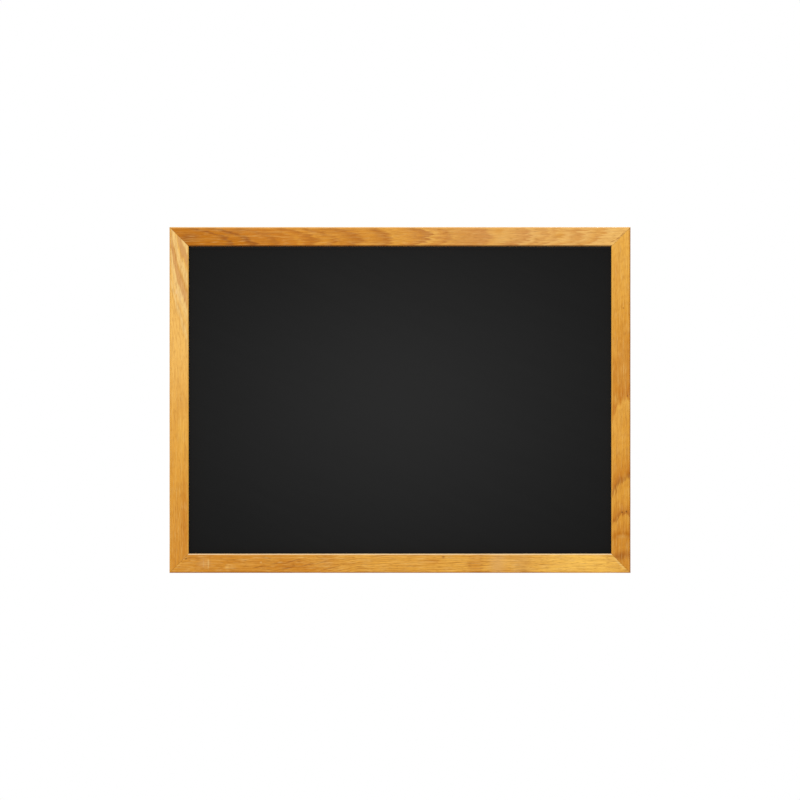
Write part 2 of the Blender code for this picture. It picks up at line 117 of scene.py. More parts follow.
class Tone(Enum):
    """Tones of honey-stained oak, from the palest to the darkest."""

    SHAVING = "#FFE6BC"
    CREAM = "#F6CB7E"
    SUNLIT = "#FFC75A"
    STRAW = "#F6BF63"
    HONEY = "#ECAE48"
    SAND = "#DFAF74"
    FAWN = "#DBA35E"
    WHEAT = "#DAA04E"
    GOLD = "#E29F38"
    AMBER = "#D58D2B"
    CARAMEL = "#C87B1C"
    RUSSET = "#BF7208"
    TAN = "#B56C1B"
    UMBER = "#955214"
    BARK = "#5A2E0C"

    @property
    def colour(self) -> Colour:
        """The tone in linear light."""
        return linear(self.value)


# The tones' bare names, for the tables of rings and marks
(
    SHAVING, CREAM, SUNLIT, STRAW, HONEY, SAND, FAWN, WHEAT, GOLD, AMBER, CARAMEL, RUSSET, TAN, UMBER,
    BARK,
) = Tone


class Side(Enum):
    """The two sides of the board, as seen in the photograph."""

    LEFT = -1
    RIGHT = 1

    @property
    def word(self) -> str:
        """The side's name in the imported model."""
        return self.name.lower()


def linear(hex_colour: str) -> Colour:
    """Turns an sRGB hex colour into linear light, by the curve that defines sRGB.

    Args:
        hex_colour: A colour such as "#D58D2B".

    Returns:
        Red, green, blue and an alpha of 1.
    """
    shares = [int(hex_colour[k : k + 2], 16) / 255 for k in (1, 3, 5)]
    return (*((c / 12.92 if c <= 0.04045 else ((c + 0.055) / 1.055) ** 2.4) for c in shares), 1.0)


def connect(node: Node, inputs: Inputs) -> None:
    """Sets a node's inputs.

    Args:
        node: The node.
        inputs: By the socket's name or number, its value or the socket that it reads from.
    """
    for key, value in inputs.items():
        target = next(s for k, s in enumerate(node.inputs) if key == k or s.enabled and key == s.name)
        if isinstance(value, NodeSocket):
            node.id_data.links.new(value, target)
        else:
            target.default_value = value


def add_node(
    tree: NodeTree, kind: str, settings: dict[str, object], inputs: Inputs, output: str = ""
) -> NodeSocket:
    """Adds a node with its settings and links.

    Args:
        tree: The node tree that gets the node.
        kind: The node's type, without its "ShaderNode".
        settings: The node's own settings.
        inputs: By the socket's name or number, its value or the socket that it reads from.
        output: The name of the output that is wanted, or nothing for the first one.

    Returns:
        The wanted output.
    """
    node = tree.nodes.new("ShaderNode" + kind)
    for name, value in settings.items():
        setattr(node, name, value)
    connect(node, inputs)
    return next(s for s in node.outputs if s.enabled and output in ("", s.name))


def fill_ramp(ramp: NodeSocket, stops: Sequence[tuple[float, Sequence[float]]]) -> None:
    """Sets a colour ramp's stops.

    Args:
        ramp: An output of the Color Ramp node.
        stops: Place and linear colour of each stop, in rising order.
    """
    elements = ramp.node.color_ramp.elements
    while len(elements) < len(stops):
        elements.new(1.0)
    for element, (place, colour) in zip(elements, stops):
        element.position = min(max(place, 0.0), 1.0)
        element.color = colour


def new_material(name: str) -> tuple[Material, NodeTree, Node, NodeSocket]:
    """Makes a material that holds one Principled shader.

    Args:
        name: The material's name.

    Returns:
        The material, its tree, its shader and its Object coordinates.
    """
    material = bpy.data.materials.new(name)
    material.use_nodes = True
    tree = material.node_tree
    return material, tree, tree.nodes["Principled BSDF"], add_node(tree, "TexCoord", {}, {}, "Object")


def add_object(name: str, data: ID) -> Object:
    """Makes an object and links it to the scene.

    Args:
        name: The object's name.
        data: Its mesh, lamp or camera.

    Returns:
        The new object, at the origin.
    """
    thing = bpy.data.objects.new(name, data)
    bpy.context.scene.collection.objects.link(thing)
    return thing


def new_piece(name: str, bm: BMesh, place: Matrix, material: Material | None = None) -> Object:
    """Turns a finished bmesh into an object at the origin, and frees the bmesh.

    Args:
        name: The object's name.
        bm: The shape.
        place: Takes the shape's own coordinates to the board's.
        material: Its finish, or nothing for a cutter.

    Returns:
        The new object.
    """
    bmesh.ops.transform(bm, matrix=place, verts=bm.verts)
    bmesh.ops.remove_doubles(bm, verts=bm.verts, dist=WELD)
    bmesh.ops.recalc_face_normals(bm, faces=bm.faces)
    mesh = bpy.data.meshes.new(name)
    bm.to_mesh(mesh)
    bm.free()
    if material:
        mesh.materials.append(material)
    return add_object(name, mesh)


def apply_modifiers(piece: Object) -> None:
    """Turns a piece's modifiers into plain mesh.

    Args:
        piece: The piece whose modifiers are used up.
    """
    graph = bpy.context.evaluated_depsgraph_get()
    rough = piece.data
    piece.data = bpy.data.meshes.new_from_object(piece.evaluated_get(graph))
    piece.modifiers.clear()
    bpy.data.meshes.remove(rough)


def carve(piece: Object, bm: BMesh, place: Matrix) -> None:
    """Takes a closed form out of a piece.

    Args:
        piece: The piece that is cut.
        bm: The closed form.
        place: Takes the form's own coordinates to the board's.
    """
    cutter = new_piece(piece.name + "_cutter", bm, place)
    cut = piece.modifiers.new("cut", "BOOLEAN")
    cut.object = cutter
    apply_modifiers(piece)
    bpy.data.objects.remove(cutter, do_unlink=True)


def soften(piece: Object, angle: float) -> None:
    """Shades a piece smooth, apart from the edges that are sharper than the angle."""
    piece.data.shade_smooth()
    piece.data.set_sharp_from_angle(angle=angle)


def hand_over(piece: Object, body: str, node: str) -> None:
    """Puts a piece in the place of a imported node.

    Args:
        piece: The finished piece.
        body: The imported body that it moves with.
        node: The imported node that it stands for.
    """
    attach(piece, body)
    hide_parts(node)
    LOG.info("%s: %d faces, in place of %s", piece.name, len(piece.data.polygons), node)


def nodes_named(start: str) -> list[str]:
    """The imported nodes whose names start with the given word."""
    return sorted(name for name in frame["nodes"] if name.startswith(start))


def edges_of(verts: Sequence[BMVert]) -> list[BMEdge]:
    """The edges that the given corners share, each of them once."""
    return list(dict.fromkeys(edge for vert in verts for edge in vert.link_edges))


@dataclass(frozen=True)
class Member:
    """Where one member of the frame lies, as its wood sees it.

    The wood's own X runs along the member from its left or top end, its Y runs into the wood from the front
    face, and its Z runs across the member from its outer edge.
    """

    node: str
    upright: bool
    mirrored: bool

    @property
    def length(self) -> float:
        """The member's length along its outer edge."""
        low, high = cad_bounds
        return high.z - low.z if self.upright else high.x - low.x

    @property
    def turn(self) -> float:
        """How far the wood's axes are turned about the board's Y."""
        return QUARTER_TURN if self.upright else 0.0

    @property
    def flip(self) -> Triple:
        """How the wood's axes are mirrored."""
        return (1, 1, -1) if self.mirrored else (1, 1, 1)

    @property
    def start(self) -> Vector:
        """The board's corner where the wood's axes start."""
        low, high = cad_bounds
        across = high.x if self.upright and self.mirrored else low.x
        up = high.z if self.upright or self.mirrored else low.z
        return Vector((across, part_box(self.node)[0].y, up))

    @property
    def placing(self) -> Matrix:
        """Takes the wood's own coordinates to the board's."""
        turned = Matrix.Translation(self.start) @ Matrix.Rotation(self.turn, 4, "Y")
        return turned @ Matrix.Diagonal((*self.flip, 1))


@dataclass(frozen=True)
class Grain:
    """One scale of the wood's grain: noise that is drawn out along the member.

    The tone shows nowhere below the low noise, and at its full strength above the high one.
    """

    length_mm: float
    width_mm: float
    low: float
    high: float
    tone: Tone
    strength: float
    detail: float = 2.0


@dataclass(frozen=True)
class Mark:
    """A knot, smudge or pale patch that the rings don't explain.

    It has its middle, along the member and across from its outer edge, its half length, its half width, and
    how many degrees its length leans away from the member's.
    """

    along_mm: float
    across_mm: float
    length_mm: float
    width_mm: float
    tone: Tone
    strength: float
    lean_degrees: float = 0.0


@dataclass(frozen=True)
class OakBoard:
    """Plain-sawn red oak, honey-stained and sealed with a thin satin lacquer.

    The figure is cut from solid rings round the tree's heart, so it runs over the edges and onto the back.
    It gives the eye arched bands with feathered edges, fine dashes along the grain and a soft low shine.

    Attributes:
        rings: Where along the member the face cuts rings of each tone, in millimetres.
        heart: The heart's path, in millimetres: along the member, across it and behind its face.
        marks: What the rings don't explain, under the grain.
        year: The width of one year's growth.
        texture: How strongly the grain shows, beside the other members.
        seed: Sets where everything irregular falls.
        wander: How far the rings stray from round.
        feather: How far the rings' edges are drawn out along the grain.
        level_mm: How far across from the outer edge the rings' places lie, or nothing for over the heart.
        rubbed: Marks over everything, where handling has marked the eased edges, and painted shade along
            the lower edge of the bottom rail.
    """

    rings: dict[Tone, tuple[float, ...]]
    heart: tuple[Triple, ...]
    # Tones of the eased edges: wear, with painted highlight on edges that face the light and painted shade
    # on those that face away
    inner_edge: Tone
    outer_edge: Tone
    marks: tuple[Mark, ...]
    year: float
    texture: float
    seed: float
    wander: float = 0.8 * MM
    feather: float = 0.7 * MM
    year_strength: float = 0.16
    level_mm: float | None = None
    rubbed: tuple[Mark, ...] = ()

    # Growth rings stray over a hand's width, and pores feather their edges
    wander_size = (70 * MM, 16 * MM, 16 * MM)
    feather_size = (26 * MM, 1.6 * MM, 1.6 * MM)
    ragged_size = (8 * MM, 0.8 * MM, 0.8 * MM)
    seed_step = 1 / 3

    # Pores are about 0.3 mm wide, which the picture can't show, so they are drawn as 0.8 mm dashes
    grains = (
        Grain(70, 3.2, 0.46, 0.74, TAN, 0.30, 3.0),
        Grain(60, 2.6, 0.50, 0.76, STRAW, 0.30, 3.0),
        Grain(24, 1.5, 0.52, 0.78, UMBER, 0.42),
        Grain(18, 1.4, 0.54, 0.80, CREAM, 0.42),
        Grain(8, 0.8, 0.54, 0.78, UMBER, 0.52),
    )

    # The heart's place travels through a ramp as a share of this reach, from this offset
    ramp_reach_mm = 200
    ramp_offset_mm = -100

    # The last part of a year's growth is dense and dark
    year_line = 0.55

    # A mark is whole inside one share of its size and gone outside the other, and noise frays its rim
    mark_limits = {"From Min": 0.6, "From Max": 1.6, "To Max": 0.0}
    fray = 1.1

    # How far the edges' wear, painted highlight and painted shade reach
    edge_limits = {"From Min": 0.9 * MM, "From Max": 1.9 * MM, "To Min": 0.75, "To Max": 0.0}
    mitre_limits = {"From Max": 0.5 * MM, "To Min": 0.3, "To Max": 0.0}
    shine_limits = {"To Min": 0.38, "To Max": 0.54}
    gloss = 0.12
    pore_relief = {"Distance": 0.08 * MM, "Strength": 0.4}

    def radius_at(self, along_mm: float) -> float:
        """Finds the ring that the face cuts at a place.

        Args:
            along_mm: A place along the member, which may lie past its ends.

        Returns:
            How far that ring lies from the tree's heart.
        """
        pairs = list(zip(self.heart, self.heart[1:]))
        first, last = next((pair for pair in pairs if along_mm <= pair[1][0]), pairs[-1])
        share = (along_mm - first[0]) / (last[0] - first[0])
        across, depth = (a + (b - a) * share for a, b in zip(first[1:], last[1:]))
        aside = 0.0 if self.level_mm is None else self.level_mm - across
        return hypot(aside, depth) * MM

    def material(self, member: Member, face: float) -> Material:
        """Makes one member's wood.

        Args:
            member: Where the wood lies.
            face: The width of the member's face.

        Returns:
            The material, which reads Object coordinates.
        """
        material, tree, shader, seat = new_material("red_oak_stained_" + member.node)
        turn = (0, member.turn, 0)
        place = {"Vector": seat, "Location": member.start, "Rotation": turn, "Scale": member.flip}
        wood = add_node(tree, "Mapping", FITTED, place)
        section = add_node(tree, "VectorMath", TIMES, {0: wood, 1: (0, 1, 1)})
        spread = add_node(tree, "Mapping", FITTED, {"Vector": wood, "Scale": self.ragged_size})
        ragged = add_node(tree, "TexNoise", SEEDED, {"Vector": spread, "W": self.seed, **EVEN_NOISE})
        drawing = OakDrawing(self, tree, member.length, face, wood, section, ragged, [])
        drawing.cut_rings()
        drawing.stain(self.marks)
        pores = drawing.draw_grain()
        drawing.ease_edges()
        drawing.stain(self.rubbed)
        drawing.line_mitres()
        colour = drawing.layers[0][1]
        for share, tone in drawing.layers[1:]:
            colour = add_node(tree, "Mix", COLOUR_MIX, {"Factor": share, "A": colour, "B": tone})
        bump = add_node(tree, "Bump", {"invert": True}, {"Height": pores, **self.pore_relief})
        shine = add_node(tree, "MapRange", {}, {"Value": ragged, **self.shine_limits})
        connect(shader, {"Base Color": colour, "Normal": bump})
        connect(shader, {"Roughness": shine, "Specular IOR Level": self.gloss})
        return material


@dataclass
class OakDrawing:
    """One member's wood while its layers are drawn, each with its share and its colour.

    Its coordinates are the wood's own, and the section leaves out the part along the member.
    """

    oak: OakBoard
    tree: NodeTree
    length: float
    face: float
    wood: NodeSocket
    section: NodeSocket
    ragged: NodeSocket
    layers: list[tuple[NodeSocket | float, NodeSocket | Colour]]

    def ring_radius(self) -> NodeSocket:
        """Finds how far each point lies from the heart, with the strays of real growth.

        Returns:
            The distance.
        """
        oak, tree = self.oak, self.tree
        reach, offset = oak.ramp_reach_mm, oak.ramp_offset_mm
        along = add_node(tree, "SeparateXYZ", {}, {"Vector": self.wood}, "X")
        share = add_node(tree, "Math", TIMES, {0: along, 1: 1 / self.length})
        path = add_node(tree, "ValToRGB", {}, {"Fac": share})
        stops = [
            (place * MM / self.length, (0, depth / reach, (across - offset) / reach, 1))
            for place, across, depth in oak.heart
        ]
        fill_ramp(path, stops)
        scale, shift = (0, reach * MM, reach * MM), (0, 0, offset * MM)
        heart = add_node(tree, "VectorMath", TIMES_PLUS, {0: path, 1: scale, 2: shift})
        radius = add_node(tree, "VectorMath", DISTANCE, {0: self.section, 1: heart})
        strays = ((oak.wander_size, oak.wander), (oak.feather_size, oak.feather))
        for number, (size, amount) in enumerate(strays):
            spread = add_node(tree, "Mapping", FITTED, {"Vector": self.wood, "Scale": size})
            place = {"Vector": spread, "W": oak.seed + number * oak.seed_step}
            noise = add_node(tree, "TexNoise", SEEDED, {**place, **EVEN_NOISE})
            radius = add_node(tree, "Math", TIMES_PLUS, {0: noise, 1: 2 * amount, 2: radius})
        return radius

    def cut_rings(self) -> None:
        """Draws the growth rings where the member's faces cut them, and the dense end of each year."""
        oak, tree = self.oak, self.tree
        radius = self.ring_radius()
        pairs = [(place_mm, tone) for tone, places in oak.rings.items() for place_mm in places]
        stops = sorted((oak.radius_at(place_mm), tone.value) for place_mm, tone in pairs)
        self.layers.append((1.0, linear(stops[0][1])))
        for first in range(0, len(stops) - 1, RAMP_STOPS - 1):
            part = stops[first : first + RAMP_STOPS]
            low, high = part[0][0], part[-1][0]
            scale = 1 / (high - low)
            shift = low + oak.wander + oak.feather
            share = add_node(tree, "Math", TIMES_PLUS, {0: radius, 1: scale, 2: -shift * scale})
            rings = add_node(tree, "ValToRGB", {}, {"Fac": share})
            fill_ramp(rings, [((depth - low) * scale, linear(tone)) for depth, tone in part])
            beyond = add_node(tree, "Math", {"operation": "GREATER_THAN"}, {0: share, 1: 0.0})
            self.layers.append((beyond, rings))
        late = add_node(tree, "Math", PINGPONG, {0: radius, 1: oak.year / 2})
        limits = {"From Min": oak.year_line * oak.year / 2, "From Max": oak.year / 2}
        share = add_node(tree, "MapRange", {}, {"Value": late, "To Max": oak.year_strength, **limits})
        self.layers.append((share, TAN.colour))

    def stain(self, marks: Sequence[Mark]) -> None:
        """Lays marks over the colour so far.

        Args:
            marks: The marks.
        """
        tree = self.tree
        for mark in marks:
            middle = (mark.along_mm * MM, 0, mark.across_mm * MM)
            size = (mark.length_mm * MM, 1, mark.width_mm * MM)
            place = {"Location": middle, "Rotation": (0, radians(mark.lean_degrees), 0), "Scale": size}
            centred = add_node(tree, "Mapping", FITTED, {"Vector": self.wood, **place})
            away = add_node(tree, "VectorMath", LENGTH, {0: centred})
            away = add_node(tree, "Math", TIMES_PLUS, {0: self.ragged, 1: self.oak.fray, 2: away})
            limits = {"To Min": mark.strength, **self.oak.mark_limits}
            share = add_node(tree, "MapRange", SOFT, {"Value": away, **limits})
            self.layers.append((share, mark.tone.colour))

    def draw_grain(self) -> NodeSocket:
        """Draws the grain along the member, from the widest streaks to the pores.

        Returns:
            Where the pores are.
        """
        oak, tree = self.oak, self.tree
        for number, grain in enumerate(oak.grains, start=1):
            size = (grain.length_mm * MM, grain.width_mm * MM, grain.width_mm * MM)
            spread = add_node(tree, "Mapping", FITTED, {"Vector": self.wood, "Scale": size})
            pattern = {"W": oak.seed + number, "Scale": 1.0, "Detail": grain.detail}
            noise = add_node(tree, "TexNoise", SEEDED, {"Vector": spread, **pattern})
            limits = {"From Min": grain.low, "From Max": grain.high, "To Max": grain.strength * oak.texture}
            share = add_node(tree, "MapRange", {}, {"Value": noise, **limits})
            self.layers.append((share, grain.tone.colour))
        return share

    def ease_edges(self) -> None:
        """Tints both eased front edges: wear where the lacquer is thin and the grain is cut across, with
        painted highlight on edges that face the light and painted shade on those that face away.
        """
        for across, tone in ((0, self.oak.outer_edge), (self.face, self.oak.inner_edge)):
            away = add_node(self.tree, "VectorMath", DISTANCE, {0: self.section, 1: (0, 0, across)})
            share = add_node(self.tree, "MapRange", SOFT, {"Value": away, **self.oak.edge_limits})
            self.layers.append((share, tone.colour))

    def line_mitres(self) -> None:
        """Darkens the thin line of stain that gathers at both mitres."""
        tree = self.tree
        axes = add_node(tree, "SeparateXYZ", {}, {"Vector": self.wood}).node.outputs
        end = add_node(tree, "Math", PINGPONG, {0: axes["X"], 1: self.length / 2})
        away = add_node(tree, "Math", {"operation": "SUBTRACT"}, {0: end, 1: axes["Z"]})
        away = add_node(tree, "Math", {"operation": "ABSOLUTE"}, {0: away})
        share = add_node(tree, "MapRange", {}, {"Value": away, **self.oak.mitre_limits})
        self.layers.append((share, BARK.colour))


@dataclass(frozen=True)
class ChalkCoating:
    """Black chalkboard paint, rolled on hardboard.

    It gives the eye a dead matte black, lighter towards the middle as a painted sheen, a band of
    painted light along the top that fills the shadow under the frame's lip, and a faint stipple.
    """

    clean: str = "#191919"
    # The panel is painted lighter towards its middle, a painted sheen, with noise streaking its rim
    dusty: str = "#292929"
    # A paler band just under the top rail is painted light, filling the shadow of the frame's lip
    settled: str = "#3C3D3E"
    settled_width: float = 3.2 * MM
    haze_reach: float = 470 * MM
    height_share: float = 1.3
    wipe_size: Triple = (160 * MM, 1.0, 14 * MM)
    wipe_lean: float = radians(24)
    wipe_share: float = 0.1
    roughness: float = 0.95
    gloss: float = 0.04

    # A roller's stipple is about 1 mm, drawn coarser so that it shows
    stipple: float = 2.4 * MM
    stipple_depth: float = 0.05 * MM
    stipple_strength: float = 0.25

    def material(self) -> Material:
        """Makes the coating.

        Returns:
            The material, which reads Object coordinates.
        """
        material, tree, shader, seat = new_material("chalkboard_paint_rolled")
        low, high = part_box("writing_panel")
        # Painted sheen: the colour grows lighter towards the middle of the panel
        reach = (self.haze_reach, 1, self.haze_reach / self.height_share)
        place = {"Vector": seat, "Location": (low + high) / 2, "Scale": reach}
        centred = add_node(tree, "Mapping", FITTED, place)
        away = add_node(tree, "VectorMath", LENGTH, {0: centred})
        place = {"Vector": seat, "Rotation": (0, self.wipe_lean, 0), "Scale": self.wipe_size}
        spread = add_node(tree, "Mapping", FITTED, place)
        sheen_streaks = add_node(tree, "TexNoise", {}, {"Vector": spread, "Scale": 1.0, "Detail": 3.0})
        away = add_node(tree, "Math", TIMES_PLUS, {0: sheen_streaks, 1: self.wipe_share, 2: away})
        painted_sheen = add_node(tree, "MapRange", SOFT, {"Value": away, "To Min": 1.0, "To Max": 0.0})
        layers = {"Factor": painted_sheen, "A": linear(self.clean), "B": linear(self.dusty)}
        colour = add_node(tree, "Mix", COLOUR_MIX, layers)
        # Painted light: a paler band under the top rail fills the shadow that its lip casts
        frame_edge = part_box("top_rail")[0].z
        height = add_node(tree, "SeparateXYZ", {}, {"Vector": seat}, "Z")
        limits = {"From Min": frame_edge - self.settled_width, "From Max": frame_edge}
        share = add_node(tree, "MapRange", {}, {"Value": height, **limits})
        layers = {"Factor": share, "A": colour, "B": linear(self.settled)}
        colour = add_node(tree, "Mix", COLOUR_MIX, layers)
        peel = add_node(tree, "TexNoise", {}, {"Vector": seat, "Scale": 1 / self.stipple, "Detail": 2.0})
        relief = {"Strength": self.stipple_strength, "Distance": self.stipple_depth, "Height": peel}
        bump = add_node(tree, "Bump", {}, relief)
        finish = {"Roughness": self.roughness, "Normal": bump, "Specular IOR Level": self.gloss}
        connect(shader, {"Base Color": colour, **finish})
        return material


@dataclass(frozen=True)
class Speckle:
    """A finish with spots of another colour and gloss, and with finer flecks that stand out from it.

    It has two roughnesses: between its spots and on them.
    """

    name: str
    base: str
    spots: str
    size_mm: Triple
    flecks: str
    fleck_mm: Triple
    roughness: tuple[float, float]
    relief: float
    metallic: float = 0.0
    gloss: float = 0.5

    # The noise between which a spot fades in
    spot_limits = {"From Min": 0.42, "From Max": 0.68}
    relief_strength = 0.5

    def material(self) -> Material:
        """Makes the finish.

        Returns:
            The material, which reads Object coordinates.
        """
        material, tree, shader, seat = new_material(self.name)
        colour: object = linear(self.base)
        shares = []
        for tone, size_mm in ((self.spots, self.size_mm), (self.flecks, self.fleck_mm)):
            size = [side * MM for side in size_mm]
            spread = add_node(tree, "Mapping", FITTED, {"Vector": seat, "Scale": size})
            noise = add_node(tree, "TexNoise", {}, {"Vector": spread, "Scale": 1.0, "Detail": 4.0})
            share = add_node(tree, "MapRange", {}, {"Value": noise, **self.spot_limits})
            layers = {"Factor": share, "A": colour, "B": linear(tone)}
            colour = add_node(tree, "Mix", COLOUR_MIX, layers)
            shares.append(share)
        first, second = self.roughness
        shine = add_node(tree, "MapRange", {}, {"Value": shares[0], "To Min": first, "To Max": second})
        relief = {"Strength": self.relief_strength, "Distance": self.relief, "Height": shares[1]}
        bump = add_node(tree, "Bump", {}, relief)
        connect(shader, {"Base Color": colour, "Roughness": shine, "Normal": bump})
        connect(shader, {"Metallic": self.metallic, "Specular IOR Level": self.gloss})
        return material


# Wet-pressed brown hardboard: a smooth face with matted dark and pale fibres, drawn coarser than the real
# ones of about 0.2 mm so that they show
HARDBOARD = Speckle(
    name="hardboard_pressed", base="#8A5D36", spots="#7F5431", size_mm=(90, 90, 60), flecks="#996D42",
    fleck_mm=(2.6, 2.6, 1.1), roughness=(0.62, 0.74), relief=0.06 * MM, gloss=0.25,
)

# Bright zinc plating with a clear passivation: a cool grey metal, clouded where the bath worked unevenly
ZINC = Speckle(
    name="steel_zinc_plated", base="#C6CACD", spots="#A9AFB5", size_mm=(5, 5, 5), flecks="#D9DADA",
    fleck_mm=(0.7, 0.7, 2.4), roughness=(0.28, 0.40), relief=0.012 * MM, metallic=1.0,
)

# Blued spring steel: nearly black, with a brown cast where the oil has dried
BLUED_STEEL = Speckle(
    name="spring_steel_blued", base="#34373D", spots="#443C36", size_mm=(2.2, 2.2, 2.2),
    flecks="#5A5D63", fleck_mm=(0.5, 0.5, 0.5), roughness=(0.36, 0.52), relief=0.01 * MM, metallic=1.0,
)

# Moulded rubber: a soft black with a grey bloom
RUBBER = Speckle(
    name="rubber_moulded", base="#1B1B1C", spots="#262627", size_mm=(3.5, 3.5, 3.5), flecks="#333332",
    fleck_mm=(0.6, 0.6, 0.6), roughness=(0.62, 0.80), relief=0.03 * MM, gloss=0.3,
)

# Pale studio paper: a faint tooth, so that its white isn't flat
FLOOR_PAPER = Speckle(
    name="studio_paper_matte", base="#F0F0EE", spots="#EEEEEC", size_mm=(300, 300, 300),
    flecks="#F1F1EF", fleck_mm=(3, 3, 3), roughness=(0.90, 0.94), relief=0.05 * MM, gloss=0.1,
)

TOP_OAK = OakBoard(
    rings={
        STRAW: (481, 524, 555, 581, 690), HONEY: (346, 445, 507), GOLD: (299, 375, 432, 456, 495, 540, 570),
        AMBER: (174, 200, 210, 221, 257, 270, 322, 360, 396, 503, 519, 550, 577),
        CARAMEL: (112, 128, 147, 167, 182, 424, 476), RUSSET: (-60, 70, 84, 97, 369),
        TAN: (141, 195, 217, 250, 290, 342), UMBER: (80, 107),
    },
    heart=((0, 22, 40), (150, 20, 52.3), (300, 13.5, 62.3), (450, 11, 71), (610, 6, 79)),
    # The dark inner edge is painted shade, and the pale outer edge a painted highlight
    inner_edge=BARK, outer_edge=STRAW,
    marks=(
        Mark(480, 12, 230, 60, SAND, 0.38), Mark(26, 15, 18, 10, UMBER, 0.8),
        Mark(92, 5, 10, 6, UMBER, 0.4), Mark(146, 6, 10, 7, TAN, 0.4), Mark(436, 5, 11, 7, AMBER, 0.5),
        Mark(516, 9, 11, 11, GOLD, 0.5), Mark(278, 7, 12, 6, TAN, 0.35),
        Mark(586, 18.7, 5.6, 1.1, UMBER, 0.7, 21), Mark(592.6, 15, 5, 1.1, UMBER, 0.7, 37),
        Mark(598.8, 9.4, 6, 1.1, UMBER, 0.7, 48),
    ),
    year=1.0 * MM, texture=1.1, seed=1.0, wander=0.9 * MM, feather=1.1 * MM,
    rubbed=(Mark(29, 17, 9, 6, RUSSET, 0.4), Mark(95, 8, 18, 8, RUSSET, 0.25)),
)

BOTTOM_OAK = OakBoard(
    rings={HONEY: (-300, 700)},
    level_mm=12.7,
    heart=((0, -22, 92), (110, -22, 90), (250, -22, 77), (610, -22, 74)),
    # The pale inner edge is a painted highlight, and the darker outer edge painted shade
    inner_edge=SHAVING, outer_edge=TAN,
    marks=(
        Mark(80, 13, 220, 200, AMBER, 1.0), Mark(330, 13, 90, 200, GOLD, 0.4),
        Mark(168, 9, 72, 14, CARAMEL, 0.65, 8), Mark(46, 12, 13, 9, SAND, 0.35),
        Mark(45, 13, 0.9, 9, SAND, 0.5), Mark(51.5, 12, 1.6, 10, CREAM, 0.55),
        Mark(76, 7, 4, 6, STRAW, 0.45), Mark(118, 8, 12, 1.1, UMBER, 0.8, -10),
        Mark(140, 12.5, 16, 1.1, UMBER, 0.8, -12), Mark(156, 6.5, 18, 1.1, UMBER, 0.8, -13),
        Mark(163, 16, 15, 1.1, UMBER, 0.75, -14), Mark(182, 10.5, 18, 1.1, UMBER, 0.8, -13),
        Mark(204, 14.5, 14, 1.1, UMBER, 0.75, -14), Mark(214, 6.5, 16, 1.1, UMBER, 0.8, -12),
        Mark(134, 16, 14, 9, HONEY, 0.4), Mark(121, 14, 2, 1.6, CREAM, 0.8),
        Mark(128, 20, 4, 1.4, CREAM, 0.6), Mark(146, 14, 5, 1.2, CREAM, 0.5, -10),
        Mark(22, 19, 2.4, 1.6, BARK, 0.8, -45), Mark(12.5, 10.5, 8, 1.5, HONEY, 0.6, -45),
        Mark(212, 14, 16, 12, CARAMEL, 0.5), Mark(348, 15, 20, 5, CARAMEL, 0.55),
        Mark(362, 21, 3, 2.4, UMBER, 0.7), Mark(404, 10, 14, 30, CARAMEL, 0.5),
        Mark(434, 13, 16, 60, SAND, 0.4), Mark(471, 13, 5, 3.5, TAN, 0.75),
        Mark(466, 13, 22, 60, WHEAT, 0.7), Mark(544, 13, 84, 60, SUNLIT, 1.0),
        Mark(446, 16, 13, 9, STRAW, 0.5), Mark(512, 13, 24, 60, SUNLIT, 0.5),
        Mark(595.5, 11.5, 15, 1.5, CREAM, 0.75, 45),
    ),
    year=1.15 * MM, texture=1.55, seed=2.0, wander=1.0 * MM, feather=0.6 * MM, year_strength=0.7,
    # The dark marks along the outer edge are painted shade under the rail's lower edge
    rubbed=(
        Mark(90, 0, 160, 2.8, UMBER, 0.7), Mark(277, 0, 90, 2.4, UMBER, 0.5),
        Mark(406, 0, 20, 2.8, UMBER, 0.75), Mark(480, 0, 16, 2.6, UMBER, 0.4),
        Mark(560, 0, 70, 2.4, HONEY, 0.7),
    ),
)

LEFT_OAK = OakBoard(
    rings={
        CREAM: (-60, 2, 34, 45, 80, 90, 114), STRAW: (27, 104, 124, 700), FAWN: (9, 20, 60, 73),
        WHEAT: (54,),
    },
    level_mm=12.7,
    heart=((0, 38, 100), (150, 38, 110), (457, 38, 114)),
    inner_edge=HONEY, outer_edge=HONEY,
    marks=(
        Mark(74, 6, 15, 3, CREAM, 0.5), Mark(92, 14, 14, 9, SHAVING, 0.1),
        Mark(86, 9, 5, 2.5, SHAVING, 0.3), Mark(97, 17, 6, 2, SUNLIT, 0.3), Mark(17, 5, 11, 6, CREAM, 0.5),
        Mark(330, 13, 200, 300, GOLD, 0.9), Mark(272, 16, 34, 9, SUNLIT, 0.4),
        Mark(470, 13, 170, 300, AMBER, 1.0), Mark(385, 21, 85, 8, CARAMEL, 0.7),
    ),
    year=1.1 * MM, texture=1.0, seed=3.0, year_strength=0.2,
)

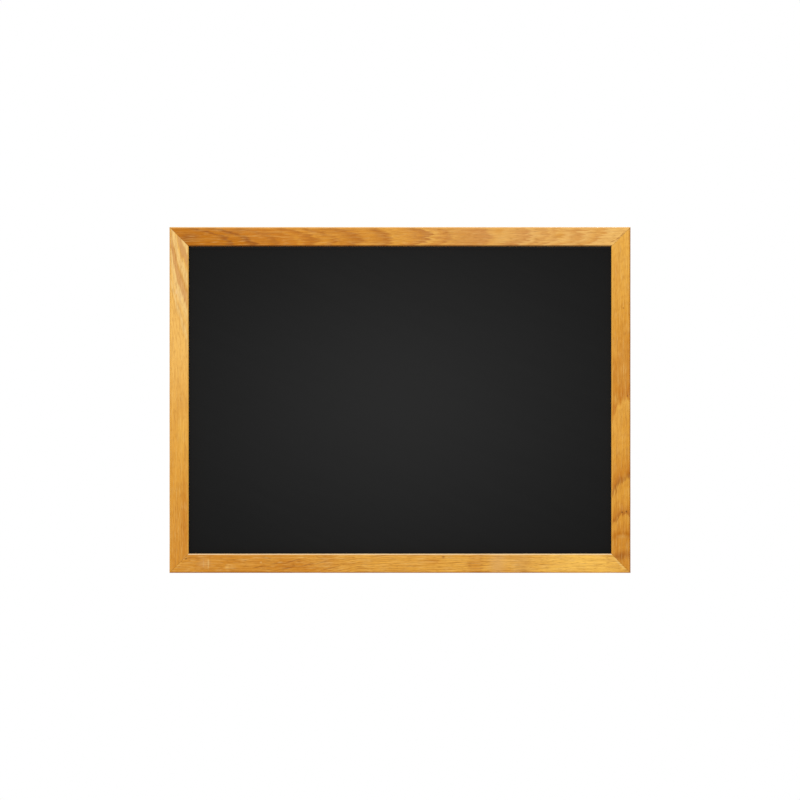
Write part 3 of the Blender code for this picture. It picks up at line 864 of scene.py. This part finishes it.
RIGHT_OAK = OakBoard(
    rings={
        HONEY: (-200, 50, 224), GOLD: (110, 255, 290, 330, 352, 380),
        AMBER: (165, 200, 314, 370, 396, 411, 425, 441, 457), CARAMEL: (214, 221, 324), RUSSET: (405,),
        TAN: (377, 433), UMBER: (328,),
    },
    heart=(
        (0, 3, 118), (215, 4, 97.5), (270, 4, 94.2), (327, 4, 87.5), (362, 6, 85), (377, 8, 83.5),
        (400, 8, 81.5), (457, 8, 66),
    ),
    # The dark outer edge is painted shade
    inner_edge=HONEY, outer_edge=UMBER,
    marks=(
        Mark(60, 19, 40, 6, AMBER, 0.5, 4), Mark(107, 9.5, 1.5, 1.2, UMBER, 0.9),
        Mark(223, 4, 2.4, 1.6, UMBER, 0.9), Mark(180, 9, 60, 9, WHEAT, 0.25),
        Mark(165, 20, 16, 6, HONEY, 0.5), Mark(250, 20, 14, 6, AMBER, 0.5),
        Mark(228, 19, 11, 6, HONEY, 0.6), Mark(329, 8, 12, 6, GOLD, 0.4),
        Mark(335, 13, 9, 5, TAN, 0.5, -50), Mark(350, 19, 9, 1.1, UMBER, 0.7, -10),
        Mark(376, 5.5, 1.7, 1.5, BARK, 0.9), Mark(377, 11, 1.7, 1.5, BARK, 0.9),
        Mark(386, 17, 9, 1.1, UMBER, 0.8, -25), Mark(436, 12, 7, 7, UMBER, 0.55),
        Mark(409, 11, 4, 12, WHEAT, 0.5),
    ),
    year=1.2 * MM, texture=1.05, seed=4.0,
)


@dataclass
class Moulding:
    """The frame: four mitred lengths of rebated oak moulding with eased edges."""

    face: float = 25.4 * MM
    back_face: float = 17.4 * MM
    lip: float = 6.0 * MM
    arris: float = 1.8 * MM
    back_arris: float = 0.8 * MM
    arris_flats: int = 8
    back_arris_flats: int = 2
    mitre_gap: float = 0.1 * MM
    stations: int = 64
    waver: float = 0.22 * MM
    waver_margin: float = 30 * MM

    # Radians a metre along the edge and share of each wave that the waver is made of
    waves: tuple[tuple[float, float], ...] = ((61, 0.5), (173, 0.3), (409, 0.2))

    play: float = 0.05 * MM
    smooth_angle: float = radians(20)
    facing_back: float = 0.999
    members: tuple[tuple[Member, OakBoard], ...] = (
        (Member("top_rail", upright=False, mirrored=True), TOP_OAK),
        (Member("bottom_rail", upright=False, mirrored=False), BOTTOM_OAK),
        (Member("left_stile", upright=True, mirrored=False), LEFT_OAK),
        (Member("right_stile", upright=True, mirrored=True), RIGHT_OAK),
    )

    def build(self) -> None:
        """Builds, cuts and dresses all four members."""
        for member, oak in self.members:
            piece = self.build_member(member, oak.material(member, self.face))
            carve(piece, self.fixing_holes(member), Matrix())
            soften(piece, self.smooth_angle)
            # The thin faces beside the cuts in the sawn back would smear a smooth shade
            for face in piece.data.polygons:
                face.use_smooth = face.normal.y < self.facing_back
            hand_over(piece, "board", member.node)

    def build_member(self, member: Member, material: Material) -> Object:
        """Draws the moulding's section out, eases its edges and cuts its mitres.

        Args:
            member: Where it lies.
            material: Its wood.

        Returns:
            The member.
        """
        low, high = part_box(member.node)
        depth = high.y - low.y
        rebate = ((self.lip, self.face), (self.lip, self.back_face), (depth, self.back_face))
        bm = bmesh.new()
        corners = [
            bm.verts.new((-OVERRUN, into, across))
            for into, across in ((0, 0), (0, self.face), *rebate, (depth, 0))
        ]
        loop = [bm.edges.new(pair) for pair in zip(corners, corners[1:] + corners[:1])]
        section = bmesh.ops.contextual_create(bm, geom=loop)["faces"]
        drawn = bmesh.ops.extrude_face_region(bm, geom=section)["geom"]
        moved = [item for item in drawn if isinstance(item, BMVert)]
        bmesh.ops.translate(bm, verts=moved, vec=ACROSS * (member.length + 2 * OVERRUN))
        front = (0, self.arris, self.arris_flats)
        for into, radius, flats in (front, (depth, self.back_arris, self.back_arris_flats)):
            edges = [
                edge
                for edge in bm.edges
                if edge.calc_length() > member.length
                and all(abs(vert.co.y - into) < WELD for vert in edge.verts)
            ]
            bmesh.ops.bevel(bm, geom=edges, offset=radius, segments=flats, affect="EDGES", **BEVEL)
        lengthways = [edge for edge in bm.edges if edge.calc_length() > member.length]
        bmesh.ops.subdivide_edges(bm, edges=lengthways, cuts=self.stations, use_grid_fill=True)
        self.ease_by_hand(bm, member)
        inset = self.mitre_gap / DIAGONAL
        for end, outside in ((inset, -1), (member.length - inset, 1)):
            everything = bm.verts[:] + bm.edges[:] + bm.faces[:]
            plane = {"plane_co": (end, 0, 0), "plane_no": (outside, 0, 1), "clear_outer": True}
            cut = bmesh.ops.bisect_plane(bm, geom=everything, dist=WELD, **plane)["geom_cut"]
            rim = [item for item in cut if isinstance(item, BMEdge)]
            bmesh.ops.contextual_create(bm, geom=rim)
        return new_piece("oak_" + member.node, bm, member.placing, material)

    def ease_by_hand(self, bm: BMesh, member: Member) -> None:
        """Gives the front edges the slight waver that sanding leaves, always inwards.

        Args:
            bm: The member in its wood's own coordinates, before its mitres are cut.
            member: Where it lies.
        """
        phase = member.start.length + member.turn
        for vert in bm.verts:
            along, into, across = vert.co
            margin = min(along, member.length - along) / self.waver_margin
            fade = max(0.0, 1 - into / self.lip) ** 2 * min(max(margin, 0.0), 1.0)
            outer = across < self.arris
            wave = sum(share * sin(along * pitch + phase * pitch + outer) for pitch, share in self.waves)
            amount = self.waver * fade * (1 + wave) / 2
            if outer:
                vert.co.z += amount * (1 - across / self.arris)
            elif across > self.face - self.arris:
                vert.co.z -= amount * (1 - (self.face - across) / self.arris)

    def fixing_holes(self, member: Member) -> BMesh:
        """Makes the form of all that is driven into a member, a touch larger than the real pieces.

        Args:
            member: Where it lies.

        Returns:
            The closed form.
        """
        edge = member.node.split("_")[0]
        fixings = nodes_named(f"panel_point_{edge}")
        fixings += [name for name in nodes_named("v_nail") if f"_{edge}_" in name]
        fixings += nodes_named(f"hanger_screw_{edge}")
        bm = bmesh.new()
        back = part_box(member.node)[1].y
        for name in fixings:
            one = bmesh.new()
            one.from_mesh(frame["nodes"][name].data)
            bmesh.ops.remove_doubles(one, verts=one.verts, dist=WELD)
            one.normal_update()
            for vert in one.verts:
                vert.co += vert.normal * self.play * DIAGONAL
            top = max(vert.co.y for vert in one.verts)
            for vert in one.verts:
                if name.startswith("v_nail") and top - vert.co.y < self.play:
                    vert.co.y = back + OVERRUN
            mesh = bpy.data.meshes.new("fixing")
            one.to_mesh(mesh)
            one.free()
            bm.from_mesh(mesh)
            bpy.data.meshes.remove(mesh)
        return bm


@dataclass
class PanelStack:
    """The writing panel, its backing board, and the small steel that holds both and the mitres."""

    finishes: tuple[tuple[str, ChalkCoating | Speckle], ...] = (
        ("writing_panel", ChalkCoating()),
        ("backing_board", HARDBOARD),
        ("panel_point", BLUED_STEEL),
        ("v_nail", ZINC),
    )

    def build(self) -> None:
        """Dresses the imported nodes, whose shapes are right as they are."""
        for start, finish in self.finishes:
            material = finish.material()
            for node in nodes_named(start):
                slots = frame["nodes"][node].data.materials
                slots.clear()
                slots.append(material)
                LOG.info("%s: packed node, finished as %s", node, material.name)


@dataclass
class Sweep:
    """A shape whose open end, a rim of edges, is drawn along straight runs and bends."""

    bm: BMesh
    rim: list[BMEdge]

    def run(self, offset: Vector) -> None:
        """Draws the open end straight on.

        Args:
            offset: How far, and which way.
        """
        drawn = bmesh.ops.extrude_edge_only(self.bm, edges=self.rim)["geom"]
        verts = {item for item in drawn if isinstance(item, BMVert)}
        bmesh.ops.translate(self.bm, verts=list(verts), vec=offset)
        self.rim = [item for item in drawn if isinstance(item, BMEdge) and verts.issuperset(item.verts)]

    def bend(self, centre: Vector, axis: Vector, angle: float, flats: int) -> None:
        """Draws the open end round a bend.

        Args:
            centre: A point on the bend's axis.
            axis: The bend's axis.
            angle: How far it bends.
            flats: How many flats the bend has.
        """
        geom = list(dict.fromkeys(vert for edge in self.rim for vert in edge.verts)) + self.rim
        turn = {"cent": centre, "axis": axis, "angle": angle, "steps": flats, "use_merge": False}
        last = bmesh.ops.spin(self.bm, geom=geom, **turn, **SPIN)["geom_last"]
        self.rim = [item for item in last if isinstance(item, BMEdge)]


def turned_form(profile: Sequence[tuple[float, float]], rounding: dict[int, float]) -> BMesh:
    """Turns a profile round the Z axis into a closed form.

    Args:
        profile: Radius and height of each corner, with the first and the last on the axis.
        rounding: How much is taken off the corners that are rounded, by their number.

    Returns:
        The turned form.
    """
    bm = bmesh.new()
    corners = [bm.verts.new((radius, 0, height)) for radius, height in profile]
    for pair in zip(corners, corners[1:]):
        bm.edges.new(pair)
    for number, offset in rounding.items():
        corner = {"geom": [corners[number]], "offset": offset, "segments": TURNED_CORNER_FLATS}
        bmesh.ops.bevel(bm, affect="VERTICES", **corner, **BEVEL)
    turn = {"cent": (0, 0, 0), "axis": UPWARD, "angle": 2 * pi, "steps": TURNED_FLATS, "use_merge": True}
    bmesh.ops.spin(bm, geom=bm.verts[:] + bm.edges[:], **turn, **SPIN)
    bmesh.ops.remove_doubles(bm, verts=bm.verts, dist=WELD)
    return bm


@dataclass
class RingHanger:
    """A zinc-plated strap folded round the bar of a D-shaped wire ring, with its two pan head screws.

    Places are given from the ring's hinge: across the board, out towards the wall and up.
    """

    side: Side
    zinc: Material
    gauge: float = 0.8 * MM
    width: float = 10 * MM
    reach: float = 35.9 * MM
    loop_radius: float = 1.7 * MM
    loop_flats: int = 24
    leaf_gap: float = 0.2 * MM
    fall: float = radians(58)
    fall_radius: float = 1.0 * MM
    fall_flats: int = 6
    end_rounding: float = 4.96 * MM
    end_flats: int = 10
    burr: float = 0.12 * MM
    burr_flats: int = 2
    wire: float = 2.0 * MM
    wire_flats: int = 16
    ring_half_width: float = 6.8 * MM
    ring_leg: float = 5.0 * MM
    ring_corner: float = 1.6 * MM
    ring_corner_flats: int = 8
    ring_bow_flats: int = 36
    ring_gap: float = 0.3 * MM
    screw_places: tuple[float, float] = (16.9 * MM, 30.4 * MM)
    screw_turns: tuple[float, float] = (radians(17), radians(64))
    screw_head: float = 3.3 * MM
    screw_crown: float = 2.1 * MM

    # How far out the head is flat and how far up its side is straight, as shares of its size
    screw_dome: tuple[float, float] = (0.62, 0.52)

    screw_shank: float = 1.6 * MM
    screw_point: float = 0.4 * MM
    screw_tip: float = 3.6 * MM
    screw_length: float = 12.7 * MM
    screw_lift: float = 0.02 * MM
    screw_rounding: tuple[tuple[int, float], ...] = ((1, 0.7 * MM), (2, 0.45 * MM))

    # The width of the cross, how far each arm reaches past it, and its depth
    cross: Triple = (0.9 * MM, 1.45 * MM, 1.3 * MM)
    cross_taper: Triple = (0.55, 0.55, 1)
    hole: float = 3.8 * MM
    hole_flats: int = 32
    smooth_angle: float = radians(40)

    @property
    def hinge(self) -> Vector:
        """The ring's hinge in the board's coordinates."""
        joint = next(j for j in frame["joints"] if j["name"] == f"{self.side.word}_ring_swing")
        return Vector(joint["pos_m"])

    @property
    def upper_leaf(self) -> float:
        """How far out from the hinge the middle of the upper leaf lies."""
        return self.gauge + self.leaf_gap - self.loop_radius

    def build(self) -> None:
        """Builds the strap, the ring and both screws."""
        word = self.side.word
        hand_over(self.build_strap(), "board", f"hanger_strap_{word}")
        hand_over(self.build_ring(), f"{word}_ring", f"hanger_ring_{word}")
        for row, below, turn in zip(("upper", "lower"), self.screw_places, self.screw_turns):
            screw = self.build_screw(row, below, turn * self.side.value)
            hand_over(screw, "board", f"hanger_screw_{word}_{row}")

    def build_strap(self) -> Object:
        """Folds the strap round the ring's bar, rounds its ends and drills it.

        Returns:
            The strap.
        """
        bm = bmesh.new()
        place = Matrix.Translation((0, -self.loop_radius, -self.reach))
        place @= Matrix.Diagonal((self.width, self.gauge, 1, 1))
        verts = bmesh.ops.create_grid(bm, x_segments=1, y_segments=1, size=0.5, matrix=place)["verts"]
        sweep = Sweep(bm, edges_of(verts))
        sweep.run(UPWARD * self.reach)
        sweep.bend(Vector(), -ACROSS, pi + self.fall, self.loop_flats)
        heading = Vector((0, -sin(self.fall), -cos(self.fall)))
        aside = Vector((0, cos(self.fall), -sin(self.fall)))
        leave = aside * self.loop_radius
        drop = (leave.y - self.upper_leaf) / sin(self.fall)
        corner = leave + heading * (drop - self.fall_radius * tan(self.fall / 2))
        sweep.run(corner - leave)
        sweep.bend(corner + aside * self.fall_radius, ACROSS, self.fall, self.fall_flats)
        landing = corner.z - self.fall_radius * sin(self.fall)
        sweep.run(-UPWARD * (self.reach + landing))
        bmesh.ops.contextual_create(bm, geom=sweep.rim)
        ends = [
            edge
            for edge in bm.edges
            if all(abs(vert.co.z + self.reach) < self.burr for vert in edge.verts)
            and abs(edge.verts[0].co.x - edge.verts[1].co.x) < WELD
        ]
        end = {"offset": self.end_rounding, "segments": self.end_flats}
        bmesh.ops.bevel(bm, geom=ends, affect="EDGES", **end, **BEVEL)
        strap = new_piece(f"zinc_strap_{self.side.word}", bm, Matrix.Translation(self.hinge), self.zinc)
        for below in self.screw_places:
            drill = bmesh.new()
            size = {"radius1": self.hole / 2, "radius2": self.hole / 2, "depth": self.width}
            bmesh.ops.create_cone(drill, cap_ends=True, segments=self.hole_flats, **size)
            place = Matrix.Translation(self.hinge - UPWARD * below)
            carve(strap, drill, place @ Matrix.Rotation(QUARTER_TURN, 4, "X"))
        edges = strap.modifiers.new("rolled_edges", "BEVEL")
        edges.width = self.burr
        edges.segments = self.burr_flats
        edges.angle_limit = self.smooth_angle
        apply_modifiers(strap)
        soften(strap, self.smooth_angle)
        return strap

    def build_ring(self) -> Object:
        """Bends the wire into a D, with its bar on the hinge and its bow up.

        Returns:
            The ring, leaning back against the stile.
        """
        bm = bmesh.new()
        wire = {"radius": self.wire / 2, "matrix": Matrix.Rotation(QUARTER_TURN, 4, "Y")}
        verts = bmesh.ops.create_circle(bm, cap_ends=False, segments=self.wire_flats, **wire)["verts"]
        sweep = Sweep(bm, edges_of(verts))
        inner = self.ring_half_width - self.ring_corner
        leg = UPWARD * (self.ring_leg - self.ring_corner)
        sweep.run(ACROSS * inner)
        for side, bend in ((1, pi), (-1, 0)):
            corner = Vector((side * inner, 0, self.ring_corner))
            sweep.bend(corner, -OUTWARD, QUARTER_TURN, self.ring_corner_flats)
            if bend:
                sweep.run(leg)
                sweep.bend(UPWARD * self.ring_leg, -OUTWARD, bend, self.ring_bow_flats)
                sweep.run(-leg)
        sweep.run(ACROSS * inner)
        rest = self.hinge.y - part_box("left_stile")[1].y - self.wire / 2 - self.ring_gap
        lean = asin(rest / (self.ring_leg + self.ring_half_width))
        place = Matrix.Translation(self.hinge) @ Matrix.Rotation(lean, 4, "X")
        ring = new_piece(f"zinc_ring_{self.side.word}", bm, place, self.zinc)
        ring.data.shade_smooth()
        return ring

    def build_screw(self, row: str, below: float, turn: float) -> Object:
        """Turns a pan head screw, and sinks a tapered cross in its head.

        Args:
            row: Which of the two screws it is.
            below: How far below the hinge it goes in.
            turn: How far its cross is turned.

        Returns:
            The screw, with its head down on the strap.
        """
        head, crown, shank, end = self.screw_head, self.screw_crown, self.screw_shank, -self.screw_length
        flat, brim = self.screw_dome
        cap = ((0, crown), (flat * head, crown), (head, brim * crown), (head, 0))
        stem = ((shank, 0), (shank, self.screw_tip + end), (self.screw_point, end), (0, end))
        bm = turned_form(cap + stem, dict(self.screw_rounding))
        seat = self.upper_leaf + self.gauge / 2 + self.screw_lift
        place = Matrix.Translation(self.hinge + Vector((0, seat, -below)))
        place @= Matrix.Rotation(-QUARTER_TURN, 4, "X")
        screw = new_piece(f"zinc_screw_{self.side.word}_{row}", bm, place, self.zinc)
        carve(screw, self.cross_recess(), place @ Matrix.Rotation(turn, 4, "Z"))
        soften(screw, self.smooth_angle)
        return screw

    def cross_recess(self) -> BMesh:
        """Makes the tapered cross that a driver fits.

        Returns:
            The closed form that the head loses.
        """
        width, arm, depth = self.cross
        bm = bmesh.new()
        bmesh.ops.create_cube(bm, size=1.0, matrix=Matrix.Diagonal((width, width, 2 * depth, 1)))
        walls = [face for face in bm.faces if abs(face.normal.z) < WELD]
        for face in bmesh.ops.extrude_discrete_faces(bm, faces=walls)["faces"]:
            bmesh.ops.translate(bm, verts=face.verts, vec=face.normal * arm)
        bottom = [vert for vert in bm.verts if vert.co.z < 0]
        bmesh.ops.scale(bm, verts=bottom, vec=self.cross_taper)
        bmesh.ops.translate(bm, verts=bm.verts, vec=UPWARD * self.screw_crown)
        return bm


@dataclass
class WallBumper:
    """A moulded rubber bumper, which keeps the lower edge off the wall."""

    side: Side
    rubber: Material
    dish: float = 0.35 * MM
    dish_radius: float = 3.4 * MM
    flange: float = 0.9 * MM
    rim: float = 1.5 * MM
    small_rounding: float = 0.2 * MM
    crown_share: float = 0.95
    foot_share: float = 0.97
    smooth_angle: float = radians(50)

    def build(self) -> None:
        """Turns the bumper, with a shallow dish in its face and a thin flange at its foot."""
        node = f"wall_bumper_{self.side.word}"
        low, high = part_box(node)
        centre = (low + high) / 2
        radius = (high.x - low.x) / 2
        oak_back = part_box("bottom_rail")[1].y
        height = high.y - oak_back
        inner, sunk, crown = self.dish_radius, height - self.dish, self.crown_share * radius
        face = ((0, sunk), (inner, sunk), (inner + self.dish, height), (crown, height))
        foot = ((self.foot_share * radius, self.flange), (radius, self.flange), (radius, 0), (0, 0))
        small = self.small_rounding
        bm = turned_form(face + foot, {1: small, 2: small, 3: self.rim, 5: small})
        place = Matrix.Translation((centre.x, oak_back, centre.z)) @ Matrix.Rotation(-QUARTER_TURN, 4, "X")
        bumper = new_piece(f"rubber_bumper_{self.side.word}", bm, place, self.rubber)
        soften(bumper, self.smooth_angle)
        hand_over(bumper, "board", node)


@dataclass
class Studio:
    """Plain soft studio light, a pale floor and the photograph's camera."""

    camera_distance: float = 9.0
    sensor: float = 36.0
    ambient: float = 0.42
    floor_drop: float = 0.95
    floor_side: float = 4.0

    # Name, place from the board's middle, side and watts
    lamps: tuple[tuple[str, Triple, float, float], ...] = (
        ("key_light", (-0.35, -3.3, 2.1), 2.2, 98.0),
        ("back_light", (0.7, 1.5, 1.2), 1.2, 30.0),
    )

    def build(self) -> None:
        """Makes the world, the floor, the lamps and the camera."""
        centre = sum(cad_bounds, Vector()) / 2
        bpy.context.scene.view_settings.view_transform = "Standard"
        self.build_world()
        bm = bmesh.new()
        bmesh.ops.create_grid(bm, x_segments=1, y_segments=1, size=self.floor_side / 2)
        place = Matrix.Translation((centre.x, centre.y, cad_bounds[0].z - self.floor_drop))
        new_piece("studio_floor", bm, place, FLOOR_PAPER.material())
        for name, offset, side, watts in self.lamps:
            lamp = add_object(name, bpy.data.lights.new(name, "AREA"))
            lamp.location = centre + Vector(offset)
            lamp.rotation_euler = Vector(offset).to_track_quat("Z", "Y").to_euler()
            lamp.data.size = side
            lamp.data.energy = watts
        self.build_camera(centre)

    def build_world(self) -> None:
        """Makes a world that looks white and lights softly."""
        world = bpy.data.worlds.new("pale_studio")
        world.use_nodes = True
        tree = world.node_tree
        rays = add_node(tree, "LightPath", {}, {}).node.outputs
        seen = rays["Is Camera Ray"]
        for name in ("Is Glossy Ray", "Is Transmission Ray"):
            seen = add_node(tree, "Math", {"operation": "MAXIMUM"}, {0: seen, 1: rays[name]})
        strength = add_node(tree, "MapRange", {}, {"Value": seen, "To Min": self.ambient, "To Max": 1.0})
        connect(tree.nodes["Background"], {"Color": (1, 1, 1, 1), "Strength": strength})
        bpy.context.scene.world = world

    def build_camera(self, centre: Vector) -> None:
        """Sets the camera straight in front of the board, which fills the picture as in the photograph.

        Args:
            centre: The middle of the board.
        """
        low, high = cad_bounds
        view_width = (high.x - low.x) * PHOTO_SIDE_PX / PHOTO_FRAME_WIDTH_PX
        camera = add_object("photo_camera", bpy.data.cameras.new("photo_camera"))
        camera.location = (centre.x, low.y - self.camera_distance, centre.z)
        camera.rotation_euler = (QUARTER_TURN, 0, 0)
        camera.data.sensor_width = self.sensor
        camera.data.lens = self.sensor * self.camera_distance / view_width
        bpy.context.scene.camera = camera


def main() -> None:
    """Builds and dresses the board and its studio."""
    logging.basicConfig(level=logging.INFO, format="%(name)s: %(message)s")
    Studio().build()
    Moulding().build()
    PanelStack().build()
    zinc = ZINC.material()
    rubber = RUBBER.material()
    for side in Side:
        RingHanger(side, zinc).build()
        WallBumper(side, rubber).build()


if __name__ == "__main__":
    main()
